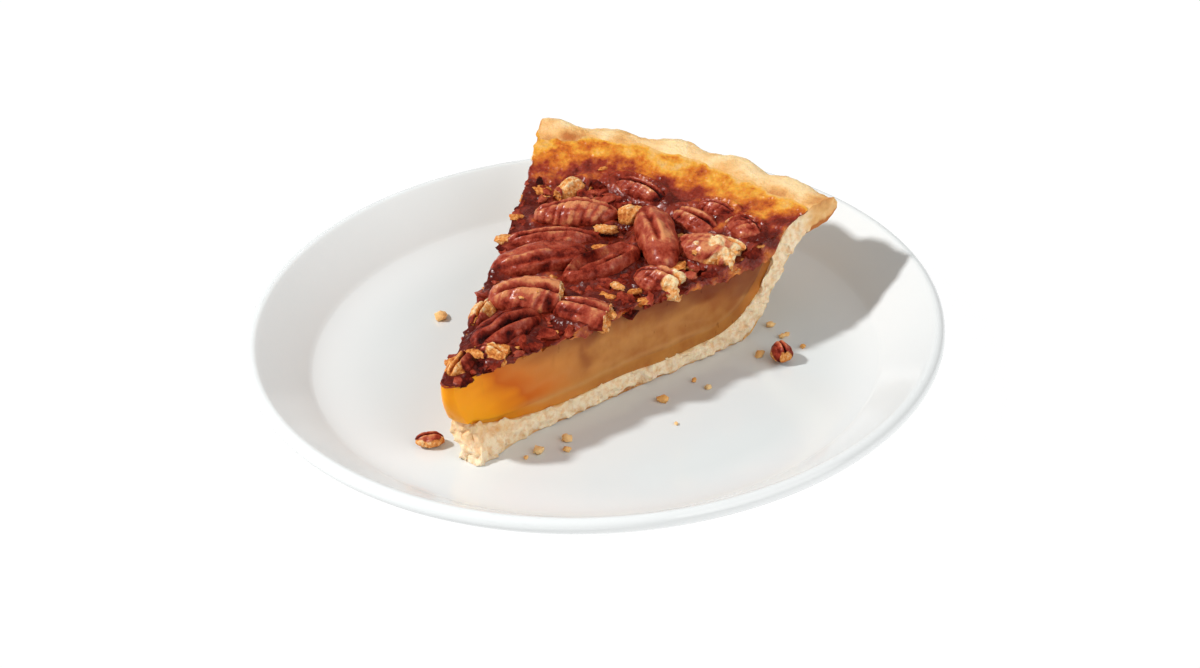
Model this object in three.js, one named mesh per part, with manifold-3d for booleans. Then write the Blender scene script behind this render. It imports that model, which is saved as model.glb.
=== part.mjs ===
// A slice of pecan pie, an eighth of a ten-inch pie, on a white porcelain dessert plate.
// Millimetres, +Z up. The origin is the middle of the plate's foot, on the table.
// The slice is worked out round the pie's centre: radius outwards, angle from the slice's
// middle line, and height above the flat well of the plate.

import * as THREE from 'three';
import { mergeVertices } from 'three/addons/utils/BufferGeometryUtils.js';
import Module from 'manifold-3d';

const { clamp, degToRad, lerp, smoothstep } = THREE.MathUtils;
const wasm = await Module();
wasm.setup();

// Clearances
const GAP = 0.3; // between pieces that touch
const WELD = 1e-3; // vertices closer than this are one
const THIN_EDGE = 0.5; // a layer ends where it has run out to this thickness

// Plate
const PLATE_RADIUS = 101.6;
const PLATE_HEIGHT = 20;
const PLATE_SIDES = 54;
const LIP_RADIUS = 2.7; // the rolled edge's own section
const LIP_ARC = [degToRad(-50), degToRad(125)];
const WELL_LEVEL = 5.8; // the flat middle that the slice stands on
const WELL_RADIUS = 70;
const RIM_START = [83, 8.8]; // the hollow bend runs out into the sloped rim here
const RIM_BEND = 79; // radius at which the rim's slope would meet the well's level
const FOOT = { inner: 62, outer: 66, recess: 1.5, chamfer: 1.2 };
const BACK_BEND = [84, 2.6]; // pulls the underside's sweep from the foot up to the lip

// Slice
const PIE_CENTRE = [-5, -68]; // the slice's point in plan
const HALF_ANGLE = degToRad(21.5);
const TIP_RADIUS = 2; // the filling's blunt point

// Crust section, radius and height: the two faces run from the broken tip out to the rim
const CRUST_UPPER = [
  [8, 12.2], [20, 8.4], [40, 6.2], [72, 6.3], [96, 8.2], [104, 9.3],
  [111, 15.5], [116, 25], [120.5, 32], [128, 35.6], [134.5, 38.4],
];
const CRUST_LOWER = [
  [8, GAP], [20, GAP], [40, GAP], [72, GAP], [96, GAP], [107, 0.6],
  [113.5, 8.8], [119.5, 17.8], [126, 26.8], [132, 29.8], [139.8, 31],
];
const CRUST_STEPS = { along: 26, around: 25, through: 2 };
const RIM_BULGE = 2.2; // roundness of the rim's outer edge
const FLUTE = { pitch: degToRad(8.8), peak: degToRad(-2.4), out: 1.4, up: 0.6, from: 126, full: 135 };
const CRUMB_RELIEF = 0.7; // depth of the crumbly cut faces

// Filling: a syrupy gel that lines the crust, custard, and the candied top that holds the nuts
const GEL = { depth: 3.6, tipDepth: 0.8, fullFrom: 34, wallInset: 1.5, wallFrom: 96, wallTo: 108 };
const CUSTARD_TOP = 23.5;
const TOP = { level: 27.3, riseFrom: 103, riseSlope: 0.345, end: 126.5, lump: 0.55, lumpLength: 15 };

// Nut bits that are baked into the candied top
const BITS = { count: 22, seed: 7, inner: 16, outer: 113, spread: 0.9, halfSize: [1.5, 2.7] };

// Pecan kernels
const KERNEL_STEPS = { around: 12, along: 7 };
const POCKET_STEPS = { around: 8, along: 6 }; // the pocket that a kernel sits in has fewer sides
const POCKET_SCALE = 1.09; // makes up for those fewer sides
const DOME = 0.62; // share of a kernel's height above its widest plane
const GROOVE = { depth: 0.2, width: 0.2 };
const BREAK_RELIEF = 0.5; // roughness of a snapped end

// Each kernel: place of its middle from the pie's centre, heading of its length from +X, pitch that
// lifts the leading end, roll about its length, length x width x height, the groove's place across it
// (-1 to 1) and where its two ends are snapped off, in half lengths. A kernel lies over those after it.
const HALVES = [
  { at: [12.2, 92.4, 29.9], turn: [-47, -7, 4], size: [31, 13.5, 9], groove: -0.2 },
  { at: [-17, 94.6, 28.8], turn: [30, 0, -6], size: [26, 12, 7.8], groove: 0.38 },
  { at: [-2.5, 48.5, 29.2], turn: [29, 0, 0], size: [25, 15, 9.6], groove: 0.05, ends: [-1, 0.62] },
  { at: [-0.3, 31.8, 27.7], turn: [75, 0, 4], size: [24, 13, 8.4], groove: 0 },
  { at: [-12.3, 67.3, 28.6], turn: [46, 2, 8], size: [29.5, 12.5, 8.2], groove: -0.38 },
  { at: [4.6, 74, 28.4], turn: [66, 2, -30], size: [26, 11.5, 8.6], groove: 0.38 },
  { at: [-16.4, 80.1, 27.6], turn: [31, 0, 0], size: [28, 9, 7], groove: 0.38 },
  { at: [-6.4, 113.4, 31], turn: [-8, 0, 6], size: [21, 9.5, 7], groove: 0 },
];
const PIECES = [
  { at: [29.4, 96.1, 27.7], turn: [11, -6, 0], size: [25, 13, 8.6], groove: 0.38, ends: [-1, 0.62] },
  { at: [24.6, 75, 27.4], turn: [8, -8, 0], size: [18, 11, 7.6], groove: 0, ends: [-1, 0.62] },
  { at: [14.2, 50.3, 27.3], turn: [11, -3, 0], size: [22, 12, 7.6], groove: 0, ends: [-1, 0.62] },
  { at: [16.8, 107.3, 28.6], turn: [-15, -2, 6], size: [18, 10, 7], groove: 0, ends: [-0.9, 1] },
  { at: [32.6, 108.4, 30.6], turn: [-22, -4, 0], size: [14, 9, 6.6], groove: 0.38, ends: [-0.7, 0.9] },
  { at: [20.2, 113.6, 30.6], turn: [-1, 0, 0], size: [15, 6.5, 5.4], groove: 0, ends: [-0.9, 1] },
  { at: [-11.6, 37.4, 26.9], turn: [102, 0, 0], size: [17, 7, 6], groove: 0, ends: [-0.9, 0.9] },
  { at: [2.4, 20, 26.7], turn: [20, -2, 0], size: [13, 8.5, 6], groove: 0, ends: [-0.7, 0.7] },
  { at: [-1.6, 10.6, 26.9], turn: [95, 12, 0], size: [12, 7.5, 6.4], groove: 0, ends: [-0.9, 0.7] },
  { at: [-26.5, 105.4, 28.9], turn: [70, 3, 0], size: [13, 7, 6], groove: 0, ends: [-0.7, 0.7] },
  { at: [-2.2, 101, 29], turn: [24, 6, 0], size: [9, 6.5, 5.6], groove: 0, ends: [-0.7, 0.7] },
];
// Two chips have dropped onto the plate: the height is that of the middle above the well.
const DROPPED = [
  { at: [-11.5, 7.3, 1.75], turn: [36, 0, 0], size: [8.4, 5.2, 3.6], groove: 0, ends: [-1, 0.9] },
  { at: [53.2, 93.4, 2.5], turn: [-37, 0, 0], size: [8.4, 5.6, 5.4], groove: 0, ends: [-0.7, 0.7] },
];

// Colours
const PORCELAIN = { color: 0xf1f0ee, roughness: 0.15 };
const PASTRY = { color: 0xe3bd7f, roughness: 0.8 };
const SYRUP_GEL = { color: 0x9a5a28, roughness: 0.35 };
const CUSTARD = { color: 0xa66c3a, roughness: 0.5 };
const CANDIED_TOP = { color: 0x7a2f1a, roughness: 0.3 };
const PECAN = { color: 0x8f4330, roughness: 0.5 };
const BROKEN_PECAN = { color: 0xb0683f, roughness: 0.6 };

/** Joins the vertices that coincide and drops the triangles that this closes up. */
function weld(geometry) {
  geometry.deleteAttribute('normal');
  geometry.deleteAttribute('uv');
  const merged = mergeVertices(geometry, WELD);
  const corners = merged.index.array;
  const kept = [];
  for (let i = 0; i < corners.length; i += 3) {
    const [a, b, c] = corners.slice(i, i + 3);
    if (a !== b && b !== c && c !== a) kept.push(a, b, c);
  }
  merged.setIndex(kept);
  return merged;
}

/** Moves every vertex of a geometry to where place(x, y, z) puts it, and welds the result. */
function reshape(geometry, place) {
  const position = geometry.attributes.position;
  for (let i = 0; i < position.count; i += 1) {
    position.setXYZ(i, ...place(position.getX(i), position.getY(i), position.getZ(i)));
  }
  return weld(geometry);
}

/** A box grid bent into a solid: place(u, v, w) takes three shares from 0 to 1 to a point. */
function block(steps, place) {
  const box = new THREE.BoxGeometry(1, 1, 1, ...steps).translate(0.5, 0.5, 0.5);
  return reshape(box, place);
}

function toSolid(geometry) {
  const vertProperties = geometry.attributes.position.array;
  const triVerts = Uint32Array.from(geometry.index.array);
  return new wasm.Manifold(new wasm.Mesh({ numProp: 3, vertProperties, triVerts }));
}

function toGeometry(solid) {
  const { vertProperties, triVerts } = solid.getMesh();
  const geometry = new THREE.BufferGeometry();
  geometry.setAttribute('position', new THREE.BufferAttribute(vertProperties, 3));
  geometry.setIndex(new THREE.BufferAttribute(triVerts, 1));
  return weld(geometry);
}

/** The largest body of a cut solid: the scraps that a cut leaves are dropped. */
function largestBody(solid) {
  const bodies = solid.decompose();
  return bodies.reduce((best, body) => (body.volume() > best.volume() ? body : best));
}

/** Repeatable random numbers from 0 to 1. */
function seededRandom(seed) {
  let state = seed;
  return () => {
    state = (state * 1664525 + 1013904223) % 4294967296;
    return state / 4294967296;
  };
}

/** A rough number from -1 to 1 that is always the same for the same two numbers. */
function grit(a, b) {
  const wild = Math.sin(a * 12.9898 + b * 78.233) * 43758.5453;
  return 2 * (wild - Math.floor(wild)) - 1;
}

/** A point of the slice from radius, angle and height. */
function slicePoint(r, angle, z) {
  return [r * Math.sin(angle), r * Math.cos(angle), z];
}

/** Plate: one lathed profile, from the middle of its back round the lip to the middle of the well. */
function plateGeometry() {
  const lip = [PLATE_RADIUS - LIP_RADIUS, PLATE_HEIGHT - LIP_RADIUS];
  const [arcStart, arcEnd] = LIP_ARC;
  const profile = new THREE.Path();
  profile.moveTo(0, FOOT.recess);
  profile.lineTo(FOOT.inner - FOOT.chamfer, FOOT.recess);
  profile.lineTo(FOOT.inner, 0);
  profile.lineTo(FOOT.outer, 0);
  profile.lineTo(FOOT.outer + FOOT.chamfer, FOOT.recess);
  profile.quadraticCurveTo(
    ...BACK_BEND,
    lip[0] + LIP_RADIUS * Math.cos(arcStart),
    lip[1] + LIP_RADIUS * Math.sin(arcStart),
  );
  profile.absarc(...lip, LIP_RADIUS, arcStart, arcEnd, false);
  profile.lineTo(...RIM_START);
  profile.quadraticCurveTo(RIM_BEND, WELL_LEVEL, WELL_RADIUS, WELL_LEVEL);
  profile.lineTo(0, WELL_LEVEL);
  const plate = new THREE.LatheGeometry(profile.getPoints(4), PLATE_SIDES);
  return weld(plate.rotateX(Math.PI / 2));
}

const spline = (points) => new THREE.SplineCurve(points.map(([r, z]) => new THREE.Vector2(r, z)));
const crustUpper = spline(CRUST_UPPER);
const crustLower = spline(CRUST_LOWER);
const STATIONS = crustUpper.getPoints(CRUST_STEPS.along);

/** Height of the crust's upper face at a radius, straight between the stations of its section. */
function crustTop(r) {
  const last = STATIONS.length - 1;
  const next = clamp(STATIONS.findIndex((station) => station.x > r), 1, last);
  const a = STATIONS[r >= STATIONS[last].x ? last - 1 : next - 1];
  const b = STATIONS[r >= STATIONS[last].x ? last : next];
  return lerp(a.y, b.y, clamp((r - a.x) / (b.x - a.x), 0, 1));
}

/** Crust: base, leaning wall and fluted rim, as one bent slab with crumbly cut faces. */
function crustGeometry() {
  const { along, around, through } = CRUST_STEPS;
  return block([along, around, through], (u, v, w) => {
    const upper = crustUpper.getPoint(u);
    const lower = crustLower.getPoint(u);
    const angle = HALF_ANGLE * (1 - 2 * v);
    const section = lower.lerp(upper, w);
    const fluting = Math.cos((2 * Math.PI * (angle - FLUTE.peak)) / FLUTE.pitch);
    const flute = fluting * smoothstep(section.x, FLUTE.from, FLUTE.full);
    const edge = u === 1 ? RIM_BULGE * Math.sin(Math.PI * w) : 0;
    const r = section.x + FLUTE.out * flute + edge;
    const z = Math.max(section.y + FLUTE.up * flute, GAP);
    const cutFace = v === 0 || v === 1;
    const crumb = cutFace ? (CRUMB_RELIEF * (grit(u, w) - 1)) / 2 / r : 0;
    return slicePoint(r, angle + Math.sign(angle) * crumb, z);
  });
}

/** Height of the gel's inner face: it lines the floor and climbs the wall. */
function gelTop(r) {
  const inset = GEL.wallInset * smoothstep(r, GEL.wallFrom, GEL.wallTo);
  const depth = lerp(GEL.tipDepth, GEL.depth, smoothstep(r, STATIONS[0].x, GEL.fullFrom));
  return crustTop(r + inset) + depth;
}

/** Height of the candied top: level over the custard, lumpy, and climbing to the rim. */
function toppingTop(r, angle) {
  const [x, y] = slicePoint(r, angle, 0);
  const wave = (2 * Math.PI) / TOP.lumpLength;
  const lumps = Math.sin(wave * x + 1) * Math.cos(wave * y) + 0.6 * Math.sin(wave * 1.7 * (x + y));
  const fade = 1 - smoothstep(r, TOP.riseFrom, TOP.end);
  return TOP.level + Math.max(r - TOP.riseFrom, 0) * TOP.riseSlope + TOP.lump * lumps * fade;
}

/** The radius between two others at which a rising height reaches a level. */
function reach(height, level, from, to) {
  let [low, high] = [from, to];
  while (high - low > WELD) {
    const middle = (low + high) / 2;
    if (height(middle) < level) low = middle;
    else high = middle;
  }
  return low;
}

/** One layer of the filling, between two heights, from one radius to another. */
function layerGeometry({ from, to, lower, upper, around, through }) {
  const inside = (r) => r > from + THIN_EDGE && r < to - THIN_EDGE;
  const radii = [from, ...STATIONS.map((station) => station.x).filter(inside), to];
  const along = radii.length - 1;
  return block([along, around, through], (u, v, w) => {
    const r = radii[Math.round(u * along)];
    const angle = HALF_ANGLE * (1 - 2 * v);
    return slicePoint(r, angle, lerp(lower(r), upper(r, angle), w));
  });
}

/** Gel lining: on the crust's floor and up its wall to the candied top. */
function gelGeometry() {
  const lower = (r) => crustTop(r) + GAP;
  return layerGeometry({
    from: STATIONS[0].x,
    to: reach(lower, CUSTARD_TOP - THIN_EDGE, WELL_RADIUS, TOP.end),
    lower,
    upper: (r) => Math.min(gelTop(r), CUSTARD_TOP),
    around: 8,
    through: 1,
  });
}

/** Custard: from the gel up to the candied top, overhanging the crust at the point. */
function custardGeometry() {
  const lower = (r) => gelTop(r) + GAP;
  return layerGeometry({
    from: TIP_RADIUS,
    to: reach(lower, CUSTARD_TOP - THIN_EDGE, WELL_RADIUS, TOP.end),
    lower,
    upper: () => CUSTARD_TOP,
    around: 8,
    through: 2,
  });
}

/** Candied top before the nuts are set in it, running out as a thin glaze on the rim's slope. */
function bareToppingGeometry() {
  const lower = (r) => Math.max(CUSTARD_TOP, crustTop(r)) + GAP;
  return layerGeometry({
    from: TIP_RADIUS,
    to: TOP.end,
    lower,
    upper: (r, angle) => Math.max(toppingTop(r, angle), lower(r) + THIN_EDGE),
    around: 10,
    through: 1,
  });
}

/** A pecan kernel at its place: a grooved dome, snapped where it is broken. */
function kernelGeometry(kernel, steps = KERNEL_STEPS, grooveDepth = GROOVE.depth) {
  const { at, turn, size, groove, ends = [-1, 1] } = kernel;
  const [length, width, height] = size;
  const [heading, pitch, roll] = turn.map(degToRad);
  const sphere = new THREE.SphereGeometry(1, steps.around, steps.along).rotateZ(-Math.PI / 2);
  const dome = reshape(sphere, (x, y, z) => {
    const kept = clamp(x, ...ends);
    const snapped = kept === x ? 0 : BREAK_RELIEF * grit(y, z);
    const above = z > 0 ? DOME : 1 - DOME;
    const furrow = Math.exp(-(((y - groove) / GROOVE.width) ** 2)) * (1 - x * x) * Math.max(z, 0);
    const rise = above * z - grooveDepth * furrow;
    return [(kept * length) / 2 + snapped, (y * width) / 2, rise * height];
  });
  const pose = new THREE.Matrix4().makeRotationFromEuler(new THREE.Euler(roll, -pitch, heading, 'ZYX'));
  return dome.applyMatrix4(pose.setPosition(...at));
}

/** The room that a kernel takes up: the same dome, larger, plain and with fewer sides. */
function pocketGeometry(kernel) {
  const room = kernel.size.map((side) => side * POCKET_SCALE + 2 * (GAP + BREAK_RELIEF));
  return kernelGeometry({ ...kernel, size: room }, POCKET_STEPS, 0);
}

/** Small nut bits half sunk in the candied top, spread by a seeded draw. */
function bitGeometries() {
  const random = seededRandom(BITS.seed);
  const bits = [];
  for (let i = 0; i < BITS.count; i += 1) {
    const r = Math.sqrt(lerp(BITS.inner ** 2, BITS.outer ** 2, random()));
    const angle = HALF_ANGLE * BITS.spread * lerp(-1, 1, random());
    const [x, y, z] = slicePoint(r, angle, toppingTop(r, angle));
    const [small, large] = BITS.halfSize;
    const bit = new THREE.IcosahedronGeometry(1, 0);
    bit.scale(lerp(small, large, random()), small, small * lerp(0.7, 1, random()));
    bit.rotateZ(2 * Math.PI * random());
    bits.push(weld(bit.translate(x, y, z)));
  }
  return bits;
}

/** The kernels, each cut clear of those that lie over it, and the candied top with their pockets. */
function nutsAndTopping() {
  const kernels = [...HALVES, ...PIECES];
  const pockets = kernels.map((kernel) => toSolid(pocketGeometry(kernel)));
  const nuts = kernels.map((kernel, i) => {
    const whole = toSolid(kernelGeometry(kernel));
    return largestBody(pockets.slice(0, i).reduce((solid, pocket) => solid.subtract(pocket), whole));
  });
  const withBits = bitGeometries().reduce(
    (solid, bit) => solid.add(toSolid(bit)),
    toSolid(bareToppingGeometry()),
  );
  const topping = largestBody(pockets.reduce((solid, pocket) => solid.subtract(pocket), withBits));
  return { nuts: nuts.map(toGeometry), topping: toGeometry(topping) };
}

function namedMesh(name, geometry, finish) {
  const mesh = new THREE.Mesh(geometry, new THREE.MeshStandardMaterial({ ...finish, metalness: 0 }));
  mesh.name = name;
  return mesh;
}

const slice = new THREE.Group();
slice.position.set(...PIE_CENTRE, WELL_LEVEL);
const { nuts, topping } = nutsAndTopping();
slice.add(
  namedMesh('crust', crustGeometry(), PASTRY),
  namedMesh('filling_gel', gelGeometry(), SYRUP_GEL),
  namedMesh('filling_custard', custardGeometry(), CUSTARD),
  namedMesh('candied_top', topping, CANDIED_TOP),
);
nuts.forEach((nut, i) => {
  const half = i < HALVES.length;
  const name = half ? `pecan_half_${i + 1}` : `pecan_piece_${i + 1 - HALVES.length}`;
  slice.add(namedMesh(name, nut, half ? PECAN : BROKEN_PECAN));
});
DROPPED.forEach((chip, i) => {
  slice.add(namedMesh(`pecan_chip_${i + 1}`, kernelGeometry(chip), BROKEN_PECAN));
});

const pecanPie = new THREE.Group();
pecanPie.add(namedMesh('plate', plateGeometry(), PORCELAIN), slice);

export default pecanPie;
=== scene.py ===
"""Looks of a slice of pecan pie on a white porcelain plate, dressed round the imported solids.

Lengths are millimetres until a mesh is made. The slice is worked out round the pie's centre: radius
outwards, angle from the slice's middle line, and height above the plate's flat well.
"""
import logging
import math
from dataclasses import dataclass, field
from enum import Enum

import bpy
import numpy as np
from mathutils import Matrix, Vector


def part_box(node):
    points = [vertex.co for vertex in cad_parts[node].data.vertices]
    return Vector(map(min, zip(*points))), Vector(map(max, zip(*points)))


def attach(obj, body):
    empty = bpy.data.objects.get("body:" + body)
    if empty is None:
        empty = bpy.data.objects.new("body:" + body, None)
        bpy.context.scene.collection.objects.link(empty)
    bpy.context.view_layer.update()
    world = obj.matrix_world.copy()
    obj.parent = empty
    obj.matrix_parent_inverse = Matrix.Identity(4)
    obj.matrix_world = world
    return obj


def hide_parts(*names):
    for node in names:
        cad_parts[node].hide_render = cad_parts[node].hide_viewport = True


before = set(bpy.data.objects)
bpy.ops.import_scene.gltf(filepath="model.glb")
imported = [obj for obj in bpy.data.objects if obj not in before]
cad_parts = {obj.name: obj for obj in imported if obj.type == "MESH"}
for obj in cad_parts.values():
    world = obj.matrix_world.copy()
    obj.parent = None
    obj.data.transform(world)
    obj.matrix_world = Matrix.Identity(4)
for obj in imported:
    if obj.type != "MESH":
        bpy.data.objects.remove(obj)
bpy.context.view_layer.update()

BODY = "root"
MM = 0.001
SHARP_EDGE = math.radians(60)
log = logging.getLogger("pecan_pie")


def linear(hex_colour: str) -> tuple[float, float, float, float]:
    """Turns an sRGB hex colour into linear red, green, blue and full alpha.

    Args:
        hex_colour: six hex digits after a hash sign.

    Returns:
        The colour as Blender's shader sockets take it.
    """
    channels = np.array([int(hex_colour[i:i + 2], 16) for i in (1, 3, 5)]) / 255
    curve = np.where(channels <= 0.04045, channels / 12.92, ((channels + 0.055) / 1.055) ** 2.4)
    return (*(float(c) for c in curve), 1.0)


def ease(value: np.ndarray, low: float, high: float) -> np.ndarray:
    """Rises smoothly from 0 at low to 1 at high, as 3t² - 2t³."""
    t = np.clip((value - low) / (high - low), 0, 1)
    return t * t * (3 - 2 * t)


def bell(value: np.ndarray, wide: float) -> np.ndarray:
    """A bell curve: 1 at zero, falling as exp(-(value / wide)²)."""
    return np.exp(-((value / wide) ** 2))


def blend(a: np.ndarray, b: np.ndarray, share: np.ndarray) -> np.ndarray:
    """Straight mix from a to b by a share from 0 to 1."""
    return a + (b - a) * share


def spline(points: tuple[tuple[float, float], ...], share: np.ndarray) -> np.ndarray:
    """Catmull-Rom curve through points: each stretch is a cubic whose end slopes follow its neighbours.

    Args:
        points: the points that the curve passes, in order.
        share: places along the curve from 0 to 1, of any shape.

    Returns:
        The curve's points, with one more axis of size 2.
    """
    knots = np.array(points, float)
    last = len(knots) - 1
    along = np.clip(share, 0, 1) * last
    start = np.minimum(along.astype(int), last - 1)
    t = (along - start)[..., None]
    before, here = knots[np.maximum(start - 1, 0)], knots[start]
    ahead, after = knots[start + 1], knots[np.minimum(start + 2, last)]
    leave, arrive = (ahead - before) / 2, (after - here) / 2
    cubic = (2 * here - 2 * ahead + leave + arrive) * t ** 3
    return cubic + (3 * ahead - 3 * here - 2 * leave - arrive) * t ** 2 + leave * t + here


def height_at(points: tuple[tuple[float, float], ...], r: np.ndarray) -> np.ndarray:
    """Height at a radius on the curve through points, read off between close steps along it."""
    curve = spline(points, np.linspace(0, 1, 400))
    return np.interp(r, curve[:, 0], curve[:, 1])


class Grain:
    """Smooth random fields in space: seeded values on a cubic lattice, eased between its corners."""

    SIZE = 48

    def __init__(self, seed: int) -> None:
        """Draws the lattice's values from -1 to 1."""
        self.lattice = np.random.default_rng(seed).uniform(-1, 1, (self.SIZE,) * 3)

    def field(self, points: np.ndarray, cell: float) -> np.ndarray:
        """One field: the eight corner values round each point, mixed by eased distance.

        Args:
            points: places in mm, with the last axis of size 3.
            cell: lattice spacing in mm.

        Returns:
            Values from -1 to 1, one for each point.
        """
        scaled = points / cell + self.SIZE
        base = np.floor(scaled).astype(int)
        near = ease(scaled - base, 0, 1)
        total = np.zeros(points.shape[:-1])
        for corner in np.ndindex(2, 2, 2):
            i, j, k = np.moveaxis((base + corner) % self.SIZE, -1, 0)
            weight = np.prod(np.where(corner, near, 1 - near), axis=-1)
            total += weight * self.lattice[i, j, k]
        return total

    def rough(self, points: np.ndarray, cell: float, octaves: int = 3) -> np.ndarray:
        """Sum of fields, each half as coarse and half as strong as the one before."""
        return sum(self.field(points + 7.3 * n, cell / 2 ** n) / 2 ** n for n in range(octaves))

    def shift(self, points: np.ndarray, cell: float, octaves: int = 2) -> np.ndarray:
        """Three unlike rough fields side by side, as a small push in space."""
        return np.stack([self.rough(points + 31.7 * axis, cell, octaves) for axis in range(3)], -1)


@dataclass
class Surface:
    """A closed mesh in mm, with one number for each point under each mark's name."""

    points: np.ndarray
    faces: list[list[int]]
    marks: dict[str, np.ndarray] = field(default_factory=dict)


def grid_quads(rows: int, columns: int) -> np.ndarray:
    """Four-sided faces of a grid of points that are numbered row by row."""
    index = np.arange(rows * columns).reshape(rows, columns)
    return np.stack([index[:-1, :-1], index[1:, :-1], index[1:, 1:], index[:-1, 1:]], -1).reshape(-1, 4)


def box_grid(steps: tuple[int, int, int]) -> tuple[np.ndarray, np.ndarray]:
    """The skin of a unit box as a grid: six flat grids whose shared borders are joined.

    Args:
        steps: the number of grid cells along each axis.

    Returns:
        The points' shares along the three axes, from 0 to 1, and the outward four-sided faces.
    """
    shares, faces, offset = [], [], 0
    for axis in range(3):
        first, second = (axis + 1) % 3, (axis + 2) % 3
        rows, columns = steps[first] + 1, steps[second] + 1
        quads = grid_quads(rows, columns)
        for side in (0, 1):
            grid = np.zeros((rows, columns, 3), int)
            grid[..., axis] = side * steps[axis]
            grid[..., first] = np.arange(rows)[:, None]
            grid[..., second] = np.arange(columns)
            shares.append(grid.reshape(-1, 3))
            faces.append(offset + (quads if side else quads[:, ::-1]))
            offset += rows * columns
    corners, joined = np.unique(np.concatenate(shares), axis=0, return_inverse=True)
    return corners / np.array(steps), joined.reshape(-1)[np.concatenate(faces)]


def ball_grid(steps: tuple[int, int, int]) -> tuple[np.ndarray, np.ndarray]:
    """A unit ball: the box grid's points, each moved to distance 1 from the box's middle.

    Args:
        steps: the box grid's cells along each axis.

    Returns:
        The ball's points and its outward four-sided faces.
    """
    shares, faces = box_grid(steps)
    ball = 2 * shares - 1
    return ball / np.linalg.norm(ball, axis=1, keepdims=True), faces


def make_piece(
    name: str, surface: Surface, finish: bpy.types.Material, slot: str, nodes: tuple[str, ...] = (),
    sharp: float = SHARP_EDGE,
) -> None:
    """Puts a surface into a mesh object in metres, with its marks as attributes, and ties it to the frame.

    Args:
        name: the piece's name.
        surface: the closed surface in mm, in the row's frame.
        finish: its material.
        slot: the record's material slot.
        nodes: the solids that the piece stands for.
        sharp: the angle in radians from which an edge is drawn sharp.
    """
    mesh = bpy.data.meshes.new(name)
    mesh.from_pydata(surface.points * MM, [], surface.faces)
    for mark, values in surface.marks.items():
        mesh.attributes.new(mark, "FLOAT", "POINT").data.foreach_set("value", values.astype(np.float32))
    mesh.materials.append(finish)
    mesh.shade_smooth()
    mesh.set_sharp_from_angle(angle=sharp)
    piece = bpy.data.objects.new(name, mesh)
    bpy.context.scene.collection.objects.link(piece)
    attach(piece, BODY)
    if nodes:
        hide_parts(*nodes)
    log.info("%s: %d faces, slot %s", name, len(mesh.polygons), slot)


class NodeMaterial:
    """A node material with one Principled shader, fed by nodes that read Object coordinates or marks.

    RESULT names the output that carries a node's result, where it isn't the first one.
    """

    RESULT = {"Attribute": "Fac", "Mix": 2, "TexCoord": "Object", "TexNoise": "Fac"}

    def __init__(self, name: str, shader: dict) -> None:
        """Starts the material.

        Args:
            name: the real material's name.
            shader: the shader's own constant socket values.
        """
        self.material = bpy.data.materials.new(name)
        self.material.use_nodes = True
        self.tree = self.material.node_tree
        self.tree.nodes.clear()
        shaded = self.node("BsdfPrincipled", shader)
        self.shader = shaded.node
        output = self.tree.nodes.new("ShaderNodeOutputMaterial")
        self.tree.links.new(shaded, output.inputs["Surface"])
        self.place = self.node("TexCoord")

    def node(
        self, kind: str, settings: dict | None = None, links: dict | None = None
    ) -> bpy.types.NodeSocket:
        """Adds one node, sets its sockets and options, and links its inputs.

        Args:
            kind: Blender's name for the node, without ShaderNode before it.
            settings: socket names or numbers, or option names, with values; stops fills a colour ramp.
            links: input sockets, by name or number, with the output sockets that feed them.

        Returns:
            The output socket that carries the new node's result.
        """
        node = self.tree.nodes.new("ShaderNode" + kind)
        for key, value in (settings or {}).items():
            if key == "stops":
                ramp = node.color_ramp.elements
                while len(ramp) < len(value):
                    ramp.new(1.0)
                for element, (place, colour) in zip(ramp, value):
                    element.position = place
                    element.color = linear(colour)
            elif isinstance(key, int) or key in node.inputs:
                node.inputs[key].default_value = value
            else:
                setattr(node, key, value)
        for key, source in (links or {}).items():
            self.tree.links.new(source, node.inputs[key])
        return node.outputs[self.RESULT.get(kind, 0)]

    def dressed(self, links: dict) -> bpy.types.Material:
        """Links output sockets into the shader by input name.

        Args:
            links: the shader's input names with the outputs that feed them.

        Returns:
            The finished material.
        """
        for key, source in links.items():
            self.tree.links.new(source, self.shader.inputs[key])
        return self.material


def per_metre(cell_mm: float) -> float:
    """A noise texture's scale for a pattern of this size in mm."""
    return 1 / (cell_mm * MM)


@dataclass(frozen=True)
class Porcelain:
    """Glazed white porcelain: fired clay under clear glass, so a cool white body with sharp soft gloss."""

    white: str = "#ebeeee"
    # colour of the painted shade in the well
    shade: str = "#dde2e2"
    pooling_mm: float = 45.0

    def material(self) -> bpy.types.Material:
        """Builds the glaze, with painted shade that darkens the well and leaves the slope and rim lighter,
        and a faint unevenness.

        Returns:
            The plate's glaze.
        """
        mix = NodeMaterial("glazed porcelain", {"Roughness": 0.13, "IOR": 1.52})
        wide = {"Scale": per_metre(self.pooling_mm), "Detail": 2.0}
        pool = mix.node("TexNoise", wide, {"Vector": mix.place})
        # painted shade: darker in the well, lighter on the slope and rim
        pooled = mix.node("Attribute", {"attribute_name": "pooled"})
        centred = mix.node("Math", {"operation": "SUBTRACT", 1: 0.5}, {0: pool})
        painted_shade_share = mix.node("Math", {"operation": "MULTIPLY_ADD", 1: 0.5}, {0: centred, 2: pooled})
        tone = mix.node("ValToRGB", {"stops": ((0.0, self.white), (1.0, self.shade))}, {"Fac": painted_shade_share})
        level = mix.node("Bump", {"Strength": 0.04, "Distance": 0.0006}, {"Height": pool})
        return mix.dressed({"Base Color": tone, "Normal": level})


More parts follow.
